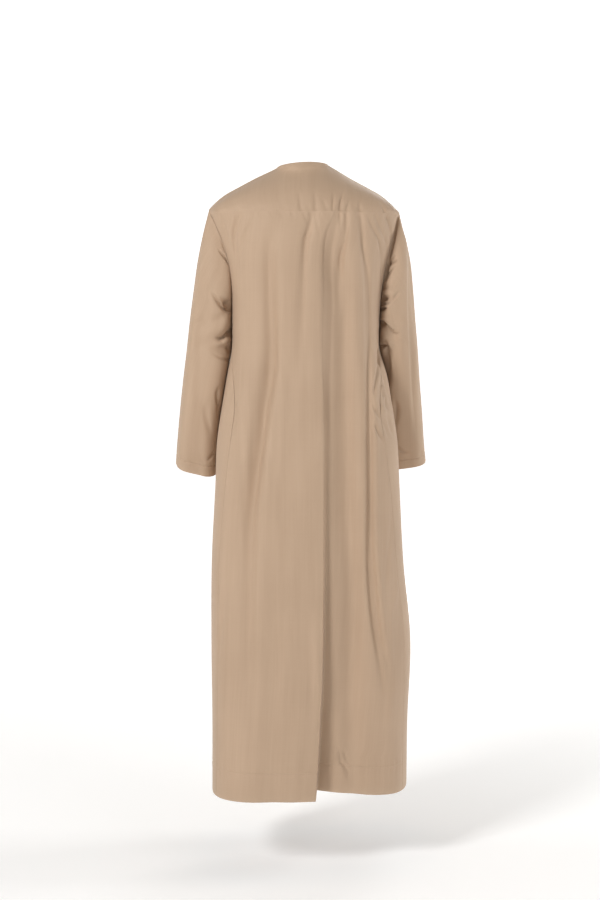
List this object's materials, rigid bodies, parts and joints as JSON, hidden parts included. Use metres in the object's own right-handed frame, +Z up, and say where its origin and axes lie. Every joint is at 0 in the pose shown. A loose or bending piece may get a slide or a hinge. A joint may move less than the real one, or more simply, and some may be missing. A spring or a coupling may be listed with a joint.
{
  "type": "thobe robe",
  "caption": "Ankle-length collarless thobe with a back yoke, long straight sleeves, side-seam pockets and a short buttoned front placket, hollow as worn.",
  "frame": {"origin": "middle of the neck opening at the height of the side neck points, between the shoulder seams", "axes": "+X to the wearer's right, +Y the way the wearer faces, +Z up; the back panel faces -Y"},
  "size_m": [0.58, 0.3737, 1.3941],
  "materials": {
    "sand_cloth": "plain fine weave, soft matte sheen",
    "button_resin": "satin"
  },
  "bodies": {
    "root": {"back": "sand_cloth", "back_yoke": "sand_cloth", "front": "sand_cloth", "sleeve_left_upper": "sand_cloth", "sleeve_left_elbow": "sand_cloth", "sleeve_left_lower": "sand_cloth", "sleeve_right_upper": "sand_cloth", "sleeve_right_elbow": "sand_cloth", "sleeve_right_lower": "sand_cloth", "pocket_facing_left": "sand_cloth", "pocket_facing_right": "sand_cloth", "placket": "sand_cloth", "button_1": "button_resin", "button_2": "button_resin", "button_3": "button_resin", "button_4": "button_resin"}
  },
  "joints": []
}
